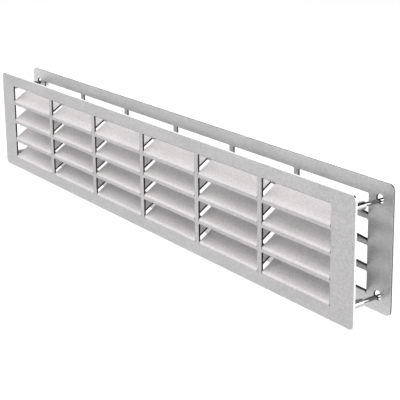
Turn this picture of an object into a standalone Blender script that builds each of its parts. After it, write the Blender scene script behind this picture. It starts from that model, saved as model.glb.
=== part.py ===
"""Louvred air grille: two pressed plates that clamp a door leaf between them.

The front plate carries four internally threaded sleeves. Four screws pass through the rear
plate and a washer each into the sleeves. They are shown backed off, so the rear plate is loose.

Frame: metres, +Z up, +X to the right of someone facing the front plate, which faces -Y.
The origin is on the standing surface, under the middle of the whole object.
"""

import math

import bmesh
import bpy
from mathutils import Vector

# Plates
PLATE_WIDTH = 0.490
PLATE_HEIGHT = 0.092
SHEET = 0.0015
PLATE_CORNER_RADIUS = 0.004
CORNER_STEPS = 5

# Louvres: every opening is sheared on three sides, and its blade is bent in about the fourth
COLUMNS = 6
ROWS = 4
OPENING_WIDTH = 0.070
OPENING_HEIGHT = 0.01565
COLUMN_PITCH = 0.075
ROW_PITCH = 0.01845
OPENING_CORNER_RADIUS = 0.001
OPENING_CORNER_STEPS = 3
SHEAR_GAP = 0.0003
RELIEF_DEPTH = 0.0006
BLADE_ANGLE = math.radians(58.0)
BEND_INNER_RADIUS = 0.001
BEND_STEPS = 4
SQUARE_ON = 0.9

# Sleeves and screws (M3), one set at each corner, in the middle of the side borders. The
# loose screws lie low in the wide clearance holes
BOLT_SPACING_X = 0.466
BOLT_SPACING_Z = 0.068
BOLT_DROP = 0.001
CLEARANCE_HOLE_RADIUS = 0.0034
SLEEVE_REACH = 0.0175
SLEEVE_RADIUS = 0.003
SLEEVE_BORE_RADIUS = 0.0018
SLEEVE_BORE_DEPTH = 0.0155
SLEEVE_CHAMFER = 0.0003
FOOT_RADIUS = 0.004
FOOT_THICKNESS = 0.0008
SHANK_RADIUS = 0.0015
SHANK_LENGTH = 0.030
TIP_CHAMFER = 0.0003
HEAD_RADIUS = 0.003
HEAD_HEIGHT = 0.0026
HEAD_EDGE_RADIUS = 0.0016
HEAD_EDGE_STEPS = 4
RECESS_SPAN = 0.0034
RECESS_WIDTH = 0.0008
RECESS_DEPTH = 0.0016
WASHER_RADIUS = 0.0045
WASHER_BORE_RADIUS = 0.0018
WASHER_THICKNESS = 0.0008
TURNED_STEPS = 24

# Stack along Y
DOOR_GAP = 0.0325
SCREW_BACK_OFF = 0.006
FIT_GAP = 0.0003
WELD_DISTANCE = 1e-6

HALF_SHEET = SHEET / 2
BLADE_WIDTH = OPENING_WIDTH - 2 * SHEAR_GAP
BEND_CENTRE = HALF_SHEET + BEND_INNER_RADIUS
BEND_LENGTH = (BEND_INNER_RADIUS + HALF_SHEET) * BLADE_ANGLE
BLADE_STRAIGHT = OPENING_HEIGHT - BEND_LENGTH - SHEAR_GAP
WASHER_FROM_FRONT = SHEET + DOOR_GAP + SHEET + SCREW_BACK_OFF
HEAD_FROM_FRONT = WASHER_FROM_FRONT + WASHER_THICKNESS + FIT_GAP
OVERALL_DEPTH = HEAD_FROM_FRONT + HEAD_HEIGHT
FRONT_FACE_Y = -OVERALL_DEPTH / 2
REAR_FACE_Y = FRONT_FACE_Y + SHEET + DOOR_GAP + SHEET
MID_HEIGHT = PLATE_HEIGHT / 2
QUARTER_TURN = math.pi / 2

# Looks: colour, metallic, roughness
ALUMINIUM = ((0.72, 0.72, 0.73, 1.0), 1.0, 0.42)
POLISHED_STEEL = ((0.78, 0.78, 0.79, 1.0), 1.0, 0.14)
ZINC_PLATE = ((0.70, 0.71, 0.73, 1.0), 1.0, 0.25)


def clear_scene():
    for old in list(bpy.data.objects):
        bpy.data.objects.remove(old, do_unlink=True)


def make_collection(name):
    collection = bpy.data.collections.new(name)
    bpy.context.scene.collection.children.link(collection)
    return collection


def make_material(name, look):
    colour, metallic, roughness = look
    material = bpy.data.materials.new(name)
    material.use_nodes = True
    shader = material.node_tree.nodes["Principled BSDF"]
    shader.inputs["Base Color"].default_value = colour
    shader.inputs["Metallic"].default_value = metallic
    shader.inputs["Roughness"].default_value = roughness
    return material


def arc(centre_x, centre_y, radius, start, sweep, steps):
    """Points along an arc, both ends included."""
    angles = [start + sweep * step / steps for step in range(steps + 1)]
    return [(centre_x + radius * math.cos(a), centre_y + radius * math.sin(a)) for a in angles]


def plate_outline():
    """The plate's outer edge, with four round corners."""
    points = []
    for corner in range(4):
        start = corner * QUARTER_TURN
        middle = start + QUARTER_TURN / 2
        x = math.copysign(PLATE_WIDTH / 2 - PLATE_CORNER_RADIUS, math.cos(middle))
        y = math.copysign(PLATE_HEIGHT / 2 - PLATE_CORNER_RADIUS, math.sin(middle))
        points += arc(x, y, PLATE_CORNER_RADIUS, start, QUARTER_TURN, CORNER_STEPS)
    return points


def opening_outline(middle_x, bend_line):
    """One opening: round top corners, and a relief slot beside each end of the bend."""
    half_width = OPENING_WIDTH / 2
    half_blade = BLADE_WIDTH / 2
    top = bend_line + OPENING_HEIGHT - OPENING_CORNER_RADIUS
    slot_floor = bend_line - RELIEF_DEPTH
    corner_x = half_width - OPENING_CORNER_RADIUS
    points = [(middle_x + x, y) for x, y in (
        (-half_width, slot_floor),
        (-half_blade, slot_floor),
        (-half_blade, bend_line),
        (half_blade, bend_line),
        (half_blade, slot_floor),
        (half_width, slot_floor),
    )]
    for side, start in ((1, 0.0), (-1, QUARTER_TURN)):
        points += arc(middle_x + side * corner_x, top, OPENING_CORNER_RADIUS, start,
                      QUARTER_TURN, OPENING_CORNER_STEPS)
    return points


def column_centres():
    first = -COLUMN_PITCH * (COLUMNS - 1) / 2
    return [first + column * COLUMN_PITCH for column in range(COLUMNS)]


def bend_lines():
    """Heights of the bends above the plate's middle, bottom row first."""
    first = -(ROW_PITCH * (ROWS - 1) + OPENING_HEIGHT) / 2
    return [first + row * ROW_PITCH for row in range(ROWS)]


def bolt_corners():
    """Name and axis of each bolt about the plate's middle, as seen from the front."""
    return [(f"{level}_{side}", across * BOLT_SPACING_X / 2, up * BOLT_SPACING_Z / 2 - BOLT_DROP)
            for level, up in (("top", 1), ("bottom", -1))
            for side, across in (("left", -1), ("right", 1))]


def evaluated_mesh(obj, name):
    """The object's shape with its modifiers, as a mesh of its own; the object is removed."""
    depsgraph = bpy.context.evaluated_depsgraph_get()
    mesh = bpy.data.meshes.new_from_object(obj.evaluated_get(depsgraph))
    mesh.name = name
    bpy.data.objects.remove(obj, do_unlink=True)
    return mesh


def punched_sheet(name, outlines):
    """A flat sheet in local XY: the first outline is its edge, and the others are holes."""
    curve = bpy.data.curves.new(name, "CURVE")
    curve.dimensions = "2D"
    curve.fill_mode = "BOTH"
    curve.extrude = HALF_SHEET
    for outline in outlines:
        spline = curve.splines.new("POLY")
        spline.points.add(len(outline) - 1)
        for point, (x, y) in zip(spline.points, outline):
            point.co = (x, y, 0.0, 1.0)
        spline.use_cyclic_u = True
    obj = bpy.data.objects.new(name, curve)
    bpy.context.scene.collection.objects.link(obj)
    return evaluated_mesh(obj, name)


def bend_faces(bm, bend_line):
    """The cut faces along one row's bend line, which the blades grow from."""
    return [face for face in bm.faces
            if face.normal.y > SQUARE_ON
            and abs(face.calc_center_median().y - bend_line) < WELD_DISTANCE]


def raise_blades(bm, bend_line):
    """Bend one row's blades inwards (local -Z) and up, all in one turn about the bend axis."""
    roots = bend_faces(bm, bend_line)
    bent = bmesh.ops.spin(
        bm,
        geom=roots,
        cent=(0.0, bend_line, -BEND_CENTRE),
        axis=(1.0, 0.0, 0.0),
        angle=-BLADE_ANGLE,
        steps=BEND_STEPS,
    )
    ends = [item for item in bent["geom_last"] if isinstance(item, bmesh.types.BMFace)]
    extruded = bmesh.ops.extrude_face_region(bm, geom=ends)["geom"]
    tips = [item for item in extruded if isinstance(item, bmesh.types.BMVert)]
    along = Vector((0.0, math.cos(BLADE_ANGLE), -math.sin(BLADE_ANGLE)))
    bmesh.ops.translate(bm, verts=tips, vec=along * BLADE_STRAIGHT)
    bmesh.ops.delete(bm, geom=roots + ends, context="FACES_ONLY")


def louvred_sheet(name, round_holes):
    """A plate in local XY with its outer face at +Z; round_holes lists the clearance holes."""
    outlines = [plate_outline()]
    outlines += [opening_outline(x, y) for x in column_centres() for y in bend_lines()]
    outlines += [arc(x, y, CLEARANCE_HOLE_RADIUS, 0.0, math.tau, TURNED_STEPS)[:-1]
                 for x, y in round_holes]
    mesh = punched_sheet(name, outlines)
    bm = bmesh.new()
    bm.from_mesh(mesh)
    bmesh.ops.remove_doubles(bm, verts=bm.verts, dist=WELD_DISTANCE)
    bmesh.ops.recalc_face_normals(bm, faces=bm.faces)
    for bend_line in bend_lines():
        raise_blades(bm, bend_line)
    bmesh.ops.recalc_face_normals(bm, faces=bm.faces)
    bm.to_mesh(mesh)
    bm.free()
    return mesh


def turned_object(name, profile, closed=False):
    """A shape turned about local Z from (radius, height) points."""
    mesh = bpy.data.meshes.new(name)
    edges = [(index, index + 1) for index in range(len(profile) - 1)]
    if closed:
        edges.append((len(profile) - 1, 0))
    mesh.from_pydata([(radius, 0.0, height) for radius, height in profile], edges, [])
    obj = bpy.data.objects.new(name, mesh)
    bpy.context.scene.collection.objects.link(obj)
    screw = obj.modifiers.new("turn", "SCREW")
    screw.axis = "Z"
    screw.steps = TURNED_STEPS
    screw.render_steps = TURNED_STEPS
    screw.use_merge_vertices = True
    screw.merge_threshold = WELD_DISTANCE
    return obj


def sleeve_mesh():
    """An internally threaded sleeve on a flat foot, foot down, with a blind bore from the top."""
    length = SLEEVE_REACH - FIT_GAP
    bore_floor = length - SLEEVE_BORE_DEPTH
    profile = [
        (0.0, bore_floor),
        (SLEEVE_BORE_RADIUS, bore_floor),
        (SLEEVE_BORE_RADIUS, length),
        (SLEEVE_RADIUS - SLEEVE_CHAMFER, length),
        (SLEEVE_RADIUS, length - SLEEVE_CHAMFER),
        (SLEEVE_RADIUS, FOOT_THICKNESS),
        (FOOT_RADIUS, FOOT_THICKNESS),
        (FOOT_RADIUS, 0.0),
        (0.0, 0.0),
    ]
    return evaluated_mesh(turned_object("threaded_sleeve", profile), "threaded_sleeve")


def recess_cutter(name, along_x, collection):
    """One bar of the cross recess, in the top of the screw head."""
    bpy.ops.mesh.primitive_cube_add(size=1.0)
    bar = bpy.context.active_object
    bar.name = name
    bar.dimensions = (
        RECESS_SPAN if along_x else RECESS_WIDTH,
        RECESS_WIDTH if along_x else RECESS_SPAN,
        2 * RECESS_DEPTH,
    )
    bar.location.z = HEAD_HEIGHT
    bar.hide_render = True
    bar.display_type = "WIRE"
    for owner in list(bar.users_collection):
        owner.objects.unlink(bar)
    collection.objects.link(bar)
    return bar


def screw_mesh(cutters):
    """A pan head screw, head up, with the underside of its head at local Z = 0."""
    edge_centre = HEAD_RADIUS - HEAD_EDGE_RADIUS
    edge = arc(edge_centre, HEAD_HEIGHT - HEAD_EDGE_RADIUS, HEAD_EDGE_RADIUS,
               QUARTER_TURN, -QUARTER_TURN, HEAD_EDGE_STEPS)
    profile = [
        (0.0, HEAD_HEIGHT),
        *edge,
        (HEAD_RADIUS, 0.0),
        (SHANK_RADIUS, 0.0),
        (SHANK_RADIUS, TIP_CHAMFER - SHANK_LENGTH),
        (SHANK_RADIUS - TIP_CHAMFER, -SHANK_LENGTH),
        (0.0, -SHANK_LENGTH),
    ]
    obj = turned_object("screw_blank", profile)
    for name, along_x in (("recess_bar_x", True), ("recess_bar_y", False)):
        cut = obj.modifiers.new(name, "BOOLEAN")
        cut.operation = "DIFFERENCE"
        cut.solver = "EXACT"
        cut.object = recess_cutter(name, along_x, cutters)
    return evaluated_mesh(obj, "pan_head_screw")


def washer_mesh():
    """A flat washer, lower face at local Z = 0."""
    profile = [
        (WASHER_BORE_RADIUS, 0.0),
        (WASHER_BORE_RADIUS, WASHER_THICKNESS),
        (WASHER_RADIUS, WASHER_THICKNESS),
        (WASHER_RADIUS, 0.0),
    ]
    return evaluated_mesh(turned_object("flat_washer", profile, closed=True), "flat_washer")


def add_part(collection, name, mesh, material, location, rotation=(0.0, 0.0, 0.0), parent=None):
    mesh.materials.clear()
    mesh.materials.append(material)
    obj = bpy.data.objects.new(name, mesh)
    obj.location = location
    obj.rotation_euler = rotation
    obj.parent = parent
    collection.objects.link(obj)
    return obj


def add_plates(collection, material):
    """Both plates stand on their long edges, with their outer faces apart and blades between."""
    holes = [(x, z + BOLT_DROP) for _, x, z in bolt_corners()]
    add_part(collection, "front_plate", louvred_sheet("front_plate", []), material,
             (0.0, FRONT_FACE_Y + HALF_SHEET, MID_HEIGHT), (QUARTER_TURN, 0.0, 0.0))
    add_part(collection, "rear_plate", louvred_sheet("rear_plate", holes), material,
             (0.0, REAR_FACE_Y - HALF_SHEET, MID_HEIGHT), (QUARTER_TURN, 0.0, math.pi))


def add_bolts(collection, cutters):
    """A sleeve, washer and screw on the axis of each corner; an empty there holds the three."""
    pieces = [
        ("sleeve", sleeve_mesh(), make_material("polished_steel", POLISHED_STEEL),
         SHEET + FIT_GAP),
        ("washer", washer_mesh(), make_material("zinc_plate", ZINC_PLATE), WASHER_FROM_FRONT),
        ("screw", screw_mesh(cutters), make_material("screw_steel", POLISHED_STEEL),
         HEAD_FROM_FRONT),
    ]
    for corner, x, z in bolt_corners():
        axis = bpy.data.objects.new(f"bolt_axis_{corner}", None)
        axis.location = (x, FRONT_FACE_Y, MID_HEIGHT + z)
        axis.rotation_euler = (-QUARTER_TURN, 0.0, 0.0)
        collection.objects.link(axis)
        for piece, mesh, material, distance in pieces:
            add_part(collection, f"{piece}_{corner}", mesh, material, (0.0, 0.0, distance),
                     parent=axis)


def main():
    clear_scene()
    collection = make_collection("louvred_air_grille")
    cutters = make_collection("cutters")
    add_plates(collection, make_material("brushed_aluminium", ALUMINIUM))
    add_bolts(collection, cutters)


main()
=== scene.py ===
"""Looks of the louvred air grille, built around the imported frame.

Metres, +Z up. The front plate faces -Y. Every piece replaces one CAD node and rides on its body.
"""

import math

import bmesh
import bpy
from mathutils import Matrix, Quaternion, Vector


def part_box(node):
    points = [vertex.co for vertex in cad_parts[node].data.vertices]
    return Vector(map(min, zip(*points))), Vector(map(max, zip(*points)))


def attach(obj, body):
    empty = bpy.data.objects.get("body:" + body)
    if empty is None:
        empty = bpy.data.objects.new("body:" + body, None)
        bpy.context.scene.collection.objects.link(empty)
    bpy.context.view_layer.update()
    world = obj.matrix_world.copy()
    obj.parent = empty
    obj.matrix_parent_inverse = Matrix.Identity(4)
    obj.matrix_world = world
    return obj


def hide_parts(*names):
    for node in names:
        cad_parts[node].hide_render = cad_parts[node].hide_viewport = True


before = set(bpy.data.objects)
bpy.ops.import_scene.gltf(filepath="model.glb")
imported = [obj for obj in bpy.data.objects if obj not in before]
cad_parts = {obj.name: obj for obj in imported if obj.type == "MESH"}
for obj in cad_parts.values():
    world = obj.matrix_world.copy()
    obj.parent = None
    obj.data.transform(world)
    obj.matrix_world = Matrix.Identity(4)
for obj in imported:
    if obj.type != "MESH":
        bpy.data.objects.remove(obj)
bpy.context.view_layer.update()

FRONT_LOW, FRONT_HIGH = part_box("front_plate")
REAR_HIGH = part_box("rear_plate")[1]
QUARTER_TURN = math.pi / 2
WELD_DISTANCE = 1e-6

# Plates
PLATE_WIDTH = FRONT_HIGH.x - FRONT_LOW.x
PLATE_HEIGHT = FRONT_HIGH.z - FRONT_LOW.z
MID_HEIGHT = (FRONT_HIGH.z + FRONT_LOW.z) / 2
SHEET = 0.0015
HALF_SHEET = SHEET / 2
PLATE_CORNER_RADIUS = 0.004
PLATE_CORNER_STEPS = 14
BOLT_HOLE_RADIUS = 0.0034
BOLT_HOLE_STEPS = 40
BOLT_DROP = 0.001  # of the bolts' axes below the middles of their holes

# Louvres
COLUMNS = 6
ROWS = 4
COLUMN_PITCH = 0.075
ROW_PITCH = 0.01845
OPENING_WIDTH = 0.070
OPENING_HEIGHT = 0.01565
OPENING_CORNER_RADIUS = 0.001
OPENING_CORNER_STEPS = 7
SHEAR_GAP = 0.0003  # between a blade's free edges and its opening
RELIEF_DEPTH = 0.0006  # of the slot beside each end of a bend
BEND_INNER_RADIUS = 0.001
BEND_STEPS = 14
BEND_AXIS_DEPTH = HALF_SHEET + BEND_INNER_RADIUS  # behind the middle of the sheet
BLADE_ANGLE = math.radians(58.0)
BLADE_WIDTH = OPENING_WIDTH - 2 * SHEAR_GAP
BLADE_STRAIGHT = OPENING_HEIGHT - BEND_AXIS_DEPTH * BLADE_ANGLE - SHEAR_GAP
BLADE_CORNER_RADIUS = 0.0008
BLADE_CORNER_STEPS = 5

# Edges of the sheet
EDGE_ROUNDING = 0.00012
EDGE_BAND = 0.0003  # wider than the rounding, so that the bevel stays on it
ROUNDED_ANGLE = math.radians(35.0)

# Materials of a plate, in the order of its slots
FACE, WORN, SHEARED, RIM, BLADE, BLADE_BACK = range(6)

# Parts of a unit normal that tell a plate's faces apart
FACES_UP = 0.9
FACES_SIDEWAYS = 0.5
EDGE_ON = 0.3
BLADE_TILT = 0.02  # least lean of the normal on a bent blade

# Turned pieces
TURNED_STEPS = 64
SHARP_ANGLE = math.radians(32.0)
EDGE_BREAK = 0.0002
BORE_RADIUS = 0.0018  # of the sleeves and the washers

# Sleeves
SLEEVE_RADIUS = 0.003
SLEEVE_BORE_DEPTH = 0.0155
MOUTH_ROUNDING = 0.0003
FOOT_HEIGHT = 0.0008
FOOT_FILLET = 0.0006
FOOT_EDGE_RADIUS = 0.0004
FOOT_RADIUS = SLEEVE_RADIUS + FOOT_FILLET + FOOT_EDGE_RADIUS

# Washers
WASHER_HOLE_BREAK = 0.0001
WASHER_SHARP_BREAK = 0.00005

# Screws
SHANK_RADIUS = 0.0015
TIP_CHAMFER = 0.0005
THREAD_LENGTH = 0.006
THREAD_PITCH = 0.0005
THREAD_CORE_RADIUS = 0.0012
THREAD_RUN_OUT = 0.0004
THREAD_END_GAP = 0.0006  # least distance from each end of the core to the middle of the ridge
THREAD_STEPS = 32
RIDGE_HALF_WIDTH = 0.46 * THREAD_PITCH
RIDGE_OVERLAP = 0.0001  # of the ridge's root inside the core
HEAD_RADIUS = 0.003
HEAD_HEIGHT = 0.0026
HEAD_EDGE_RADIUS = 0.0016
RECESS_SPAN = 0.0034
RECESS_WIDTH = 0.0007
RECESS_DEPTH = 0.0015
RECESS_FLOOR_SHARE = (0.55, 0.73)  # of each bar's size at its top, along X and Y

# Textures: how many grains of each noise fit in a metre along each axis of a piece
GRAIN_SCALE = (55.0, 2600.0, 2600.0)
MOTTLE_SCALE = (620.0, 800.0, 800.0)
CLOUD_SCALE = (18.0, 30.0, 30.0)
NICK_SCALE = (900.0, 900.0, 900.0)
TEAR_SCALE = (2400.0, 2400.0, 500.0)
RING_SCALE = (30.0, 30.0, 9000.0)
SMEAR_SCALE = (260.0, 260.0, 120.0)
NOISE_MIDDLE = (0.3, 0.7)  # where most of a noise's values lie
COLOUR_MOTTLE_SHARE = 0.6
ROUGHNESS_MOTTLE_SHARE = 0.4
CLOUD_SHARE = 0.18
SMEAR_SHADE = 0.92
EDGE_ROUGHNESS_SPREAD = (0.7, 1.3)
TURNED_ROUGHNESS_SPREAD = (0.7, 1.5)
GRAIN_HEIGHT = 0.00001
COARSE_TEARS = 0.000006
FINE_TEARS = 0.000001

# Camera, for a square picture
CAMERA_AZIMUTH = math.radians(53.62)
CAMERA_ELEVATION = math.radians(13.44)
CAMERA_ROLL = math.radians(-0.71)
CAMERA_DISTANCE = 0.801
CAMERA_TARGET = Vector((0.0812, FRONT_LOW.y, MID_HEIGHT + 0.0779))
SENSOR = 36.0
LENS = 2.71 * SENSOR
SHIFT_Y = -0.25

# Studio
FLOOR_DROP = 0.12
FLOOR_REACH = 12.0
FLOOR_TONE = 0.96
FLOOR_ROUGHNESS = 0.9
SURROUND_STRENGTH = 1.22
PATCH_STRENGTH = 0.04
PATCH_DIRECTION = Vector((0.30, 0.65, 0.70)).normalized()
PATCH_EDGE = (0.76, 0.86)  # it fades between these cosines of the angle from its middle
LIGHT_TARGET = Vector((0.0, 0.0, 0.05))
SOFTBOXES = (  # name, place, width and height, watts
    ("top_softbox", (0.0, -0.2, 1.8), (1.6, 1.2), 10.0),
    ("high_left_softbox", (-1.40, 0.0, 1.15), (1.3, 1.0), 1.5),
    ("front_high_left_softbox", (-1.25, -0.95, 1.30), (1.2, 1.0), 3.0),
    ("right_back_strip", (1.15, 0.95, 0.50), (0.35, 0.9), 6.0),
    ("front_left_softbox", (-0.90, -1.50, 0.40), (0.35, 0.30), 3.2),
)


# ---------------------------------------------------------------- objects and meshes

def linked_object(name, data):
    obj = bpy.data.objects.new(name, data)
    bpy.context.scene.collection.objects.link(obj)
    return obj


def evaluated_mesh(obj):
    """The object's shape with its modifiers, as a mesh of its own."""
    depsgraph = bpy.context.evaluated_depsgraph_get()
    return bpy.data.meshes.new_from_object(obj.evaluated_get(depsgraph))


def baked_helper(obj):
    """The evaluated mesh of a helper object, which is removed."""
    mesh = evaluated_mesh(obj)
    bpy.data.objects.remove(obj, do_unlink=True)
    return mesh


def finished_mesh(name, bm):
    """The contents of a bmesh as a new mesh; the bmesh is freed."""
    mesh = bpy.data.meshes.new(name)
    bm.to_mesh(mesh)
    bm.free()
    return mesh


def add_piece(name, mesh, matrix, materials, body, node):
    """Place one piece, smooth it, and let it stand for its CAD node."""
    mesh.name = name
    for material in materials:
        mesh.materials.append(material)
    mesh.shade_smooth()
    piece = linked_object(name, mesh)
    piece.matrix_world = matrix
    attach(piece, body)
    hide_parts(node)
    return piece


# ---------------------------------------------------------------- outlines

def arc(centre_x, centre_y, radius, start, sweep, steps):
    """Points along an arc, both ends included."""
    angles = [start + sweep * step / steps for step in range(steps + 1)]
    return [(centre_x + radius * math.cos(a), centre_y + radius * math.sin(a)) for a in angles]


def outer_corner(x, y, radius, steps):
    """The round corner of a profile, from its top at y round to its side at x."""
    return arc(x - radius, y - radius, radius, QUARTER_TURN, -QUARTER_TURN, steps)


def plate_outline():
    points = []
    for corner in range(4):
        start = corner * QUARTER_TURN
        middle = start + QUARTER_TURN / 2
        x = math.copysign(PLATE_WIDTH / 2 - PLATE_CORNER_RADIUS, math.cos(middle))
        y = math.copysign(PLATE_HEIGHT / 2 - PLATE_CORNER_RADIUS, math.sin(middle))
        points += arc(x, y, PLATE_CORNER_RADIUS, start, QUARTER_TURN, PLATE_CORNER_STEPS)
    return points


def opening_outline(middle_x, bend_line):
    """One opening: round top corners, and a relief slot beside each end of the bend."""
    half_width = OPENING_WIDTH / 2
    half_blade = BLADE_WIDTH / 2
    slot_floor = bend_line - RELIEF_DEPTH
    corner_x = half_width - OPENING_CORNER_RADIUS
    corner_y = bend_line + OPENING_HEIGHT - OPENING_CORNER_RADIUS
    points = [(middle_x + x, y) for x, y in (
        (-half_width, slot_floor),
        (-half_blade, slot_floor),
        (-half_blade, bend_line),
        (half_blade, bend_line),
        (half_blade, slot_floor),
        (half_width, slot_floor),
    )]
    for side, start in ((1, 0.0), (-1, QUARTER_TURN)):
        points += arc(middle_x + side * corner_x, corner_y, OPENING_CORNER_RADIUS, start,
                      QUARTER_TURN, OPENING_CORNER_STEPS)
    return points


def bolt_hole_outline(x, y):
    return arc(x, y, BOLT_HOLE_RADIUS, 0.0, math.tau, BOLT_HOLE_STEPS)[:-1]


def column_centres():
    first = -COLUMN_PITCH * (COLUMNS - 1) / 2
    return [first + column * COLUMN_PITCH for column in range(COLUMNS)]


def bend_lines():
    """Heights of the bends above the plate's middle, bottom row first."""
    first = -(ROW_PITCH * (ROWS - 1) + OPENING_HEIGHT) / 2
    return [first + row * ROW_PITCH for row in range(ROWS)]


def shifted_outline(outline, distance):
    """The closed outline moved to its left by this distance, with mitred corners."""
    shifted = []
    for before, (x, y), after in zip(outline[-1:] + outline[:-1], outline,
                                     outline[1:] + outline[:1]):
        first = Vector((x - before[0], y - before[1])).normalized()
        second = Vector((after[0] - x, after[1] - y)).normalized()
        miter = (first + second).orthogonal() / (1.0 + first.dot(second)) * distance
        shifted.append((x + miter.x, y + miter.y))
    return shifted


# ---------------------------------------------------------------- plates

def punched_sheet(edge, holes):
    """A flat sheet in local XY, with a narrow band of quads beside every edge for the rounding."""
    bm = bmesh.new()
    fills = ([], [])
    for outline, band in [(edge, EDGE_BAND)] + [(hole, -EDGE_BAND) for hole in holes]:
        inner = shifted_outline(outline, band)
        rings = [[bm.verts.new((x, y, height)) for x, y in points]
                 for points, height in ((inner, HALF_SHEET), (outline, HALF_SHEET),
                                        (outline, -HALF_SHEET), (inner, -HALF_SHEET))]
        for ring, below in zip(rings, rings[1:]):
            for index in range(len(ring)):
                bm.faces.new((ring[index - 1], ring[index], below[index], below[index - 1]))
        for fill, ring in zip(fills, (rings[0], rings[-1])):
            fill += [bm.edges.get((ring[index - 1], ring[index])) for index in range(len(ring))]
    for fill in fills:
        bmesh.ops.triangle_fill(bm, use_beauty=True, use_dissolve=False, edges=fill)
    bmesh.ops.recalc_face_normals(bm, faces=bm.faces)
    return bm


def raise_blades(bm, bend_line):
    """Bend one row's blades inwards (local -Z) and up, and round their free corners."""
    roots = [face for face in bm.faces
             if face.normal.y > FACES_UP
             and abs(face.calc_center_median().y - bend_line) < WELD_DISTANCE]
    bent = bmesh.ops.spin(bm, geom=roots, cent=(0.0, bend_line, -BEND_AXIS_DEPTH),
                          axis=(1.0, 0.0, 0.0), angle=-BLADE_ANGLE, steps=BEND_STEPS)
    ends = [item for item in bent["geom_last"] if isinstance(item, bmesh.types.BMFace)]
    extruded = bmesh.ops.extrude_face_region(bm, geom=ends)["geom"]
    tips = [item for item in extruded if isinstance(item, bmesh.types.BMVert)]
    along = Vector((0.0, math.cos(BLADE_ANGLE), -math.sin(BLADE_ANGLE)))
    bmesh.ops.translate(bm, verts=tips, vec=along * BLADE_STRAIGHT)
    bmesh.ops.delete(bm, geom=roots + ends, context="FACES_ONLY")
    tip_set = set(tips)
    corners = [edge for edge in bm.edges
               if edge.verts[0] in tip_set and edge.verts[1] in tip_set
               and edge.calc_length() < 2 * SHEET]
    bmesh.ops.bevel(bm, geom=corners, offset=BLADE_CORNER_RADIUS, segments=BLADE_CORNER_STEPS,
                    profile=0.5, affect="EDGES")


def is_sheared(face):
    """True for the faces that cutting the sheet leaves: walls of openings, blade ends and tips."""
    normal = face.normal
    wall = abs(normal.x) > FACES_SIDEWAYS or abs(normal.z) < EDGE_ON
    blade_tip = normal.y > EDGE_ON and normal.z < -EDGE_ON
    return wall or blade_tip


def near_rim(point):
    """True for places beside the plate's outside."""
    return (abs(point.x) > PLATE_WIDTH / 2 - PLATE_CORNER_RADIUS
            or abs(point.y) > PLATE_HEIGHT / 2 - PLATE_CORNER_RADIUS)


def louvred_sheet(name, bolt_places):
    """A plate with its raised blades, lying in local XY, its faces sorted by material."""
    openings = [opening_outline(x, y) for x in column_centres() for y in bend_lines()]
    bolt_holes = [bolt_hole_outline(x, y) for x, y in bolt_places]
    bm = punched_sheet(plate_outline(), openings + bolt_holes)
    for bend_line in bend_lines():
        raise_blades(bm, bend_line)
    bmesh.ops.recalc_face_normals(bm, faces=bm.faces)
    for face in bm.faces:
        if is_sheared(face):
            face.material_index = RIM if near_rim(face.calc_center_median()) else SHEARED
        elif face.normal.y < -BLADE_TILT:
            face.material_index = BLADE_BACK
        elif face.normal.y > BLADE_TILT:
            face.material_index = BLADE
    return finished_mesh(name, bm)


def round_edges(plate):
    """Round every edge: the plate's rim is worn bright, and the rest takes the cut edges'
    near-black colour, which is painted shade.
    """
    bevel = plate.modifiers.new("rounded_edges", "BEVEL")
    bevel.width = EDGE_ROUNDING
    bevel.segments = 2
    bevel.limit_method = "ANGLE"
    bevel.angle_limit = ROUNDED_ANGLE
    bevel.use_clamp_overlap = False
    bevel.loop_slide = False
    bevel.harden_normals = True
    bevel.material = WORN
    mesh = evaluated_mesh(plate)
    for polygon in mesh.polygons:
        if polygon.material_index == WORN and not near_rim(polygon.center):
            polygon.material_index = SHEARED
    plate.modifiers.clear()
    sharp = plate.data
    plate.data = mesh
    bpy.data.meshes.remove(sharp)
    mesh.name = plate.name


# ---------------------------------------------------------------- turned pieces

def turned_mesh(name, profile, closed=False):
    """A shape turned about local Z from (radius, height) points."""
    mesh = bpy.data.meshes.new(name)
    edges = [(index, index + 1) for index in range(len(profile) - 1)]
    if closed:
        edges.append((len(profile) - 1, 0))
    mesh.from_pydata([(radius, 0.0, height) for radius, height in profile], edges, [])
    obj = linked_object(name, mesh)
    turn = obj.modifiers.new("turn", "SCREW")
    turn.axis = "Z"
    turn.steps = TURNED_STEPS
    turn.render_steps = TURNED_STEPS
    turn.use_merge_vertices = True
    turn.merge_threshold = WELD_DISTANCE
    return baked_helper(obj)


def sleeve_profile(length):
    """Foot with a small weld fillet at the bottom, blind bore and rounded mouth at the top."""
    fillet = arc(SLEEVE_RADIUS + FOOT_FILLET, FOOT_HEIGHT + FOOT_FILLET, FOOT_FILLET,
                 math.pi, QUARTER_TURN, 6)
    return [
        (0.0, length - SLEEVE_BORE_DEPTH),
        (BORE_RADIUS, length - SLEEVE_BORE_DEPTH),
        (BORE_RADIUS, length - EDGE_BREAK),
        (BORE_RADIUS + EDGE_BREAK, length),
        *outer_corner(SLEEVE_RADIUS, length, MOUTH_ROUNDING, 5),
        *fillet[:-1],
        *outer_corner(FOOT_RADIUS, FOOT_HEIGHT, FOOT_EDGE_RADIUS, 5),
        (FOOT_RADIUS, 0.0),
        (0.0, 0.0),
    ]


def washer_profile(inner, outer, thickness):
    """A stamped ring: rounded on the side it was punched from, sharp on the other."""
    return [
        (inner, 0.0),
        (inner, thickness - WASHER_HOLE_BREAK),
        (inner + WASHER_HOLE_BREAK, thickness),
        *outer_corner(outer, thickness, EDGE_BREAK, 4),
        (outer, WASHER_SHARP_BREAK),
        (outer - WASHER_SHARP_BREAK, 0.0),
    ]


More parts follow.
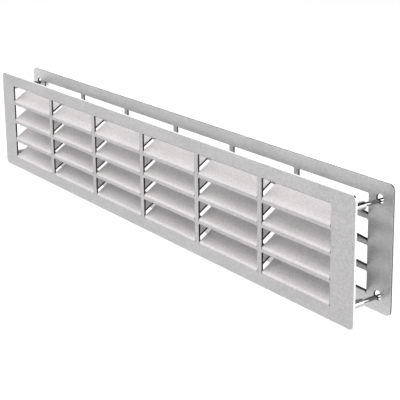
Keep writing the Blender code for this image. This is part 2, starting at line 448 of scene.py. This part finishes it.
def screw_blank_profile(shank_length):
    """Pan head up, its underside at height 0, with a thinner core where the thread is."""
    thread_top = THREAD_LENGTH - shank_length
    return [
        (0.0, HEAD_HEIGHT),
        *outer_corner(HEAD_RADIUS, HEAD_HEIGHT, HEAD_EDGE_RADIUS, 10),
        (HEAD_RADIUS, EDGE_BREAK),
        (HEAD_RADIUS - EDGE_BREAK, 0.0),
        (SHANK_RADIUS + EDGE_BREAK, 0.0),
        (SHANK_RADIUS, -EDGE_BREAK),
        (SHANK_RADIUS, thread_top + THREAD_RUN_OUT),
        (THREAD_CORE_RADIUS, thread_top),
        (THREAD_CORE_RADIUS, TIP_CHAMFER - shank_length),
        (THREAD_CORE_RADIUS - TIP_CHAMFER, -shank_length),
        (0.0, -shank_length),
    ]


def recess_bar(name, size_x, size_y):
    """One bar of the cross recess, its sides leaning in; its upper half clears the head."""
    bm = bmesh.new()
    bmesh.ops.create_cube(bm, size=1.0)
    for vert in bm.verts:
        share_x, share_y = (1.0, 1.0) if vert.co.z > 0 else RECESS_FLOOR_SHARE
        vert.co = Vector((vert.co.x * size_x * share_x, vert.co.y * size_y * share_y,
                          HEAD_HEIGHT + vert.co.z * 2 * RECESS_DEPTH))
    return linked_object(name, finished_mesh(name, bm))


def thread_coil(shank_length):
    """The thread's ridge: a small triangle wound along the core, closed at both ends."""
    root = THREAD_CORE_RADIUS - RIDGE_OVERLAP
    start = THREAD_END_GAP - shank_length
    mesh = bpy.data.meshes.new("thread_ridge")
    mesh.from_pydata([
        (root, 0.0, start - RIDGE_HALF_WIDTH),
        (SHANK_RADIUS, 0.0, start),
        (root, 0.0, start + RIDGE_HALF_WIDTH),
    ], [(0, 1), (1, 2), (2, 0)], [])
    obj = linked_object("thread_ridge", mesh)
    wind = obj.modifiers.new("wind", "SCREW")
    wind.axis = "Z"
    wind.steps = THREAD_STEPS
    wind.render_steps = THREAD_STEPS
    wind.iterations = int((THREAD_LENGTH - 2 * THREAD_END_GAP) / THREAD_PITCH)
    wind.screw_offset = THREAD_PITCH
    wind.use_merge_vertices = False
    coil = baked_helper(obj)
    bm = bmesh.new()
    bm.from_mesh(coil)
    bmesh.ops.holes_fill(bm, edges=[edge for edge in bm.edges if edge.is_boundary], sides=3)
    bmesh.ops.recalc_face_normals(bm, faces=bm.faces)
    bm.to_mesh(coil)
    bm.free()
    return coil


def screw_mesh(shank_length):
    blank = linked_object("screw_blank",
                          turned_mesh("screw_blank", screw_blank_profile(shank_length)))
    bars = [recess_bar("recess_bar_x", RECESS_SPAN, RECESS_WIDTH),
            recess_bar("recess_bar_y", RECESS_WIDTH, RECESS_SPAN)]
    for bar in bars:
        cut = blank.modifiers.new(bar.name, "BOOLEAN")
        cut.operation = "DIFFERENCE"
        cut.solver = "EXACT"
        cut.object = bar
    body = baked_helper(blank)
    for bar in bars:
        bpy.data.objects.remove(bar, do_unlink=True)
    bm = bmesh.new()
    bm.from_mesh(body)
    bm.from_mesh(thread_coil(shank_length))
    bm.to_mesh(body)
    bm.free()
    return body


# ---------------------------------------------------------------- materials

def shader_nodes(name, colour, metallic, roughness):
    """A new material; returns it with its node tree, shader and object coordinates."""
    material = bpy.data.materials.new(name)
    material.use_nodes = True
    tree = material.node_tree
    shader = tree.nodes["Principled BSDF"]
    shader.inputs["Base Color"].default_value = (*colour, 1.0)
    shader.inputs["Metallic"].default_value = metallic
    shader.inputs["Roughness"].default_value = roughness
    coordinates = tree.nodes.new("ShaderNodeTexCoord").outputs["Object"]
    return material, tree, shader, coordinates


def stretched_noise(tree, coordinates, scale, detail):
    """Noise with its own scale along each axis, so that a low one draws it out into streaks."""
    mapping = tree.nodes.new("ShaderNodeMapping")
    mapping.inputs["Scale"].default_value = scale
    tree.links.new(coordinates, mapping.inputs["Vector"])
    noise = tree.nodes.new("ShaderNodeTexNoise")
    noise.inputs["Scale"].default_value = 1.0
    noise.inputs["Detail"].default_value = detail
    tree.links.new(mapping.outputs["Vector"], noise.inputs["Vector"])
    return noise.outputs["Fac"]


def spread(tree, value, low, high, span=NOISE_MIDDLE):
    """Map this span of a value to the range from low to high."""
    remap = tree.nodes.new("ShaderNodeMapRange")
    remap.inputs["From Min"].default_value = span[0]
    remap.inputs["From Max"].default_value = span[1]
    remap.inputs["To Min"].default_value = low
    remap.inputs["To Max"].default_value = high
    tree.links.new(value, remap.inputs["Value"])
    return remap.outputs["Result"]


def tinted(tree, value, dark, light):
    """A colour that runs from dark to light over the middle of a noise."""
    ramp = tree.nodes.new("ShaderNodeValToRGB")
    for element, position, colour in zip(ramp.color_ramp.elements, NOISE_MIDDLE, (dark, light)):
        element.position = position
        element.color = (*colour, 1.0)
    tree.links.new(value, ramp.inputs["Fac"])
    return ramp.outputs["Color"]


def add_bump(tree, shader, value, height):
    bump = tree.nodes.new("ShaderNodeBump")
    bump.inputs["Strength"].default_value = 1.0
    bump.inputs["Distance"].default_value = height
    tree.links.new(value, bump.inputs["Height"])
    tree.links.new(bump.outputs["Normal"], shader.inputs["Normal"])


def blended(tree, first, second, share):
    """A mix of two values, with this share of the second."""
    mix = tree.nodes.new("ShaderNodeMix")
    mix.data_type = "FLOAT"
    mix.inputs["Factor"].default_value = share
    tree.links.new(first, mix.inputs["A"])
    tree.links.new(second, mix.inputs["B"])
    return mix.outputs["Result"]


def brushed_sheet(name, dark, light, smooth, rough, grazing=1.0, metal=1.0):
    """Metal brushed along its length, with a fine mottle and faint cloudy patches."""
    material, tree, shader, coordinates = shader_nodes(name, light, metal, rough)
    shader.inputs["Specular Tint"].default_value = (grazing, grazing, grazing, 1.0)
    grain = stretched_noise(tree, coordinates, GRAIN_SCALE, detail=5.0)
    mottle = stretched_noise(tree, coordinates, MOTTLE_SCALE, detail=3.0)
    clouds = stretched_noise(tree, coordinates, CLOUD_SCALE, detail=2.0)
    surface = blended(tree, blended(tree, grain, mottle, COLOUR_MOTTLE_SHARE), clouds, CLOUD_SHARE)
    tree.links.new(tinted(tree, surface, dark, light), shader.inputs["Base Color"])
    wear = blended(tree, grain, mottle, ROUGHNESS_MOTTLE_SHARE)
    tree.links.new(spread(tree, wear, smooth, rough), shader.inputs["Roughness"])
    add_bump(tree, shader, grain, GRAIN_HEIGHT)
    return material


def edge_metal(name, dark, light, roughness, tear_height, grazing=1.0):
    """An edge of the sheet: small nicks, and fine tears that run across its thickness."""
    material, tree, shader, coordinates = shader_nodes(name, light, 1.0, roughness)
    shader.inputs["Specular Tint"].default_value = (grazing, grazing, grazing, 1.0)
    nicks = stretched_noise(tree, coordinates, NICK_SCALE, detail=3.0)
    tears = stretched_noise(tree, coordinates, TEAR_SCALE, detail=3.0)
    tree.links.new(tinted(tree, nicks, dark, light), shader.inputs["Base Color"])
    low, high = (roughness * factor for factor in EDGE_ROUGHNESS_SPREAD)
    tree.links.new(spread(tree, nicks, low, high), shader.inputs["Roughness"])
    add_bump(tree, shader, tears, tear_height)
    return material


def turned_metal(name, colour, roughness, ring_height):
    """Turned metal with fine rings round its axis and a few soft, slightly darker smears."""
    material, tree, shader, coordinates = shader_nodes(name, colour, 1.0, roughness)
    rings = stretched_noise(tree, coordinates, RING_SCALE, detail=3.0)
    smears = stretched_noise(tree, coordinates, SMEAR_SCALE, detail=2.0)
    darker = tuple(channel * SMEAR_SHADE for channel in colour)
    tree.links.new(tinted(tree, smears, darker, colour), shader.inputs["Base Color"])
    low, high = (roughness * factor for factor in TURNED_ROUGHNESS_SPREAD)
    tree.links.new(spread(tree, smears, low, high), shader.inputs["Roughness"])
    add_bump(tree, shader, rings, ring_height)
    return material


def plate_materials():
    """The front plate's materials and the rear plate's, each in the order FACE to BLADE_BACK."""
    front_face = brushed_sheet("brushed_front", (0.315, 0.31, 0.312), (0.53, 0.52, 0.523),
                               smooth=0.36, rough=0.52)
    # The rear plate's face is lighter than the front plate's, though both are the same sheet. This
    # is painted light that offsets the shade between the plates.
    rear_face = brushed_sheet("brushed_rear", (0.43, 0.43, 0.433), (0.67, 0.665, 0.665),
                              smooth=0.40, rough=0.56)
    # The blades' colour is lighter than the flat face of the same sheet. This is painted light,
    # standing for the light that falls on their upturned faces.
    blade = brushed_sheet("brushed_blade", (0.425, 0.41, 0.413), (0.68, 0.655, 0.66),
                          smooth=0.50, rough=0.66, metal=0.5)
    # The blade undersides' low grazing tint is painted shade: it darkens their reflections where
    # they lie under the blades.
    blade_back = brushed_sheet("blade_back_painted_shade", (0.48, 0.48, 0.485), (0.66, 0.65, 0.65),
                               smooth=0.42, rough=0.58, grazing=0.08)
    worn = edge_metal("worn_edge", (0.66, 0.66, 0.67), (0.86, 0.86, 0.85), 0.30, FINE_TEARS)
    # The cut edges' near-black colour and low grazing tint are partly the duller sheared finish and
    # mostly painted shade: they stand for the shade in the openings and at the blade ends.
    cut_edge_painted_shade = edge_metal("sheared_edge_painted_shade", (0.03, 0.03, 0.032), (0.09, 0.09, 0.09), 0.40,
                         COARSE_TEARS, grazing=0.1)
    # The front plate's outer edge is light and smooth, and the rear plate's outer edge is dark with
    # a low grazing tint.
    rear_rim = edge_metal("rear_rim", (0.09, 0.09, 0.095), (0.18, 0.18, 0.18), 0.40,
                          COARSE_TEARS, grazing=0.1)
    front_rim = edge_metal("light_front_rim", (0.80, 0.80, 0.80), (0.95, 0.95, 0.94), 0.15, FINE_TEARS)
    return ([front_face, worn, cut_edge_painted_shade, front_rim, blade, blade_back],
            [rear_face, worn, cut_edge_painted_shade, rear_rim, blade, blade_back])


# ---------------------------------------------------------------- the object

def upright(y, turned=False):
    """A plate's local XY stands up in XZ, with its local +Z side facing -Y, or +Y if turned."""
    stand = Matrix.Rotation(QUARTER_TURN, 4, "X")
    about = Matrix.Rotation(math.pi if turned else 0.0, 4, "Z")
    return Matrix.Translation((0.0, y, MID_HEIGHT)) @ about @ stand


def along_bolt(x, y, z):
    """Local +Z points along +Y from this point on a bolt's axis."""
    return Matrix.Translation((x, y, z)) @ Matrix.Rotation(-QUARTER_TURN, 4, "X")


def bolt_corners():
    """Name and axis (x, z) of each bolt, from the middle of its sleeve."""
    corners = {}
    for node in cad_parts:
        if node.startswith("sleeve_"):
            low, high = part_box(node)
            corners[node.removeprefix("sleeve_")] = ((low.x + high.x) / 2, (low.z + high.z) / 2)
    return dict(sorted(corners.items()))


def build_plates(corners):
    """Both plates. The rear one's bolt holes lie evenly about its middle, so it can be turned."""
    front_materials, rear_materials = plate_materials()
    holes = [(x, z + BOLT_DROP - MID_HEIGHT) for x, z in corners.values()]
    front = add_piece("front_louvred_sheet", louvred_sheet("front_louvred_sheet", []),
                      upright(FRONT_LOW.y + HALF_SHEET), front_materials,
                      "front", "front_plate")
    rear = add_piece("rear_louvred_sheet", louvred_sheet("rear_louvred_sheet", holes),
                     upright(REAR_HIGH.y - HALF_SHEET, turned=True), rear_materials,
                     "rear", "rear_plate")
    for plate in (front, rear):
        round_edges(plate)


def build_sleeve(corner, x, z, material):
    """A sleeve that stands on the front plate's back."""
    foot = FRONT_LOW.y + SHEET
    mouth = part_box(f"sleeve_{corner}")[1].y
    mesh = turned_mesh(f"sleeve_{corner}", sleeve_profile(mouth - foot))
    return add_piece(f"threaded_sleeve_{corner}", mesh, along_bolt(x, foot, z),
                     [material], "front", f"sleeve_{corner}")


def build_washer(corner, x, z, material):
    low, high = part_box(f"washer_{corner}")
    profile = washer_profile(BORE_RADIUS, high.z - z, high.y - low.y)
    mesh = turned_mesh(f"washer_{corner}", profile, closed=True)
    return add_piece(f"flat_washer_{corner}", mesh, along_bolt(x, low.y, z), [material],
                     f"washer_{corner}", f"washer_{corner}")


def build_screw(corner, x, z, material):
    low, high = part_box(f"screw_{corner}")
    seat = high.y - HEAD_HEIGHT
    return add_piece(f"pan_head_screw_{corner}", screw_mesh(seat - low.y), along_bolt(x, seat, z),
                     [material], f"screw_{corner}", f"screw_{corner}")


def build_bolts(corners):
    sleeve_steel = turned_metal("polished_sleeve", (0.50, 0.50, 0.50), 0.10, 0.0000015)
    # The screws' steel is painted much darker than the sleeves': painted shade standing for the
    # dark reflections along the polished shanks.
    screw_steel = turned_metal("polished_screw", (0.24, 0.24, 0.245), 0.12, 0.000001)
    zinc = turned_metal("bright_zinc", (0.72, 0.74, 0.77), 0.26, 0.000002)
    for corner, (x, z) in corners.items():
        pieces = (build_sleeve(corner, x, z, sleeve_steel),
                  build_washer(corner, x, z, zinc),
                  build_screw(corner, x, z, screw_steel))
        for piece in pieces:
            piece.data.set_sharp_from_angle(angle=SHARP_ANGLE)


# ---------------------------------------------------------------- studio

def build_floor():
    bm = bmesh.new()
    bmesh.ops.create_grid(bm, x_segments=1, y_segments=1, size=FLOOR_REACH)
    mesh = finished_mesh("floor", bm)
    material = bpy.data.materials.new("pale_floor")
    material.use_nodes = True
    shader = material.node_tree.nodes["Principled BSDF"]
    shader.inputs["Base Color"].default_value = (FLOOR_TONE, FLOOR_TONE, FLOOR_TONE, 1.0)
    shader.inputs["Roughness"].default_value = FLOOR_ROUGHNESS
    mesh.materials.append(material)
    floor = linked_object("floor", mesh)
    floor.location.z = FRONT_LOW.z - FLOOR_DROP


def build_world():
    """An even white surround, dark in one soft patch above, behind and to the right."""
    world = bpy.data.worlds.new("studio")
    bpy.context.scene.world = world
    world.use_nodes = True
    tree = world.node_tree
    background = tree.nodes["Background"]
    background.inputs["Color"].default_value = (1.0, 1.0, 1.0, 1.0)
    direction = tree.nodes.new("ShaderNodeTexCoord").outputs["Generated"]
    towards = tree.nodes.new("ShaderNodeVectorMath")
    towards.operation = "DOT_PRODUCT"
    towards.inputs[1].default_value = PATCH_DIRECTION
    tree.links.new(direction, towards.inputs[0])
    strength = spread(tree, towards.outputs["Value"], SURROUND_STRENGTH, PATCH_STRENGTH, PATCH_EDGE)
    tree.links.new(strength, background.inputs["Strength"])


def add_softbox(name, location, size, power):
    light = bpy.data.lights.new(name, "AREA")
    light.shape = "RECTANGLE"
    light.size, light.size_y = size
    light.energy = power
    lamp = linked_object(name, light)
    lamp.location = location
    lamp.visible_camera = False
    lamp.rotation_mode = "QUATERNION"
    lamp.rotation_quaternion = (Vector(location) - LIGHT_TARGET).to_track_quat("Z", "Y")


def build_camera():
    back = Vector((
        math.sin(CAMERA_AZIMUTH) * math.cos(CAMERA_ELEVATION),
        -math.cos(CAMERA_AZIMUTH) * math.cos(CAMERA_ELEVATION),
        math.sin(CAMERA_ELEVATION),
    ))
    data = bpy.data.cameras.new("camera")
    data.sensor_width = SENSOR
    data.lens = LENS
    data.shift_y = SHIFT_Y
    data.clip_start = 0.01
    data.clip_end = 100.0
    camera = linked_object("camera", data)
    camera.location = CAMERA_TARGET + back * CAMERA_DISTANCE
    camera.rotation_mode = "QUATERNION"
    roll = Quaternion((0.0, 0.0, 1.0), CAMERA_ROLL)
    camera.rotation_quaternion = back.to_track_quat("Z", "Y") @ roll
    bpy.context.scene.camera = camera


bolt_axes = bolt_corners()
build_plates(bolt_axes)
build_bolts(bolt_axes)
build_floor()
build_world()
for softbox in SOFTBOXES:
    add_softbox(*softbox)
build_camera()
bpy.context.scene.view_settings.view_transform = "Standard"
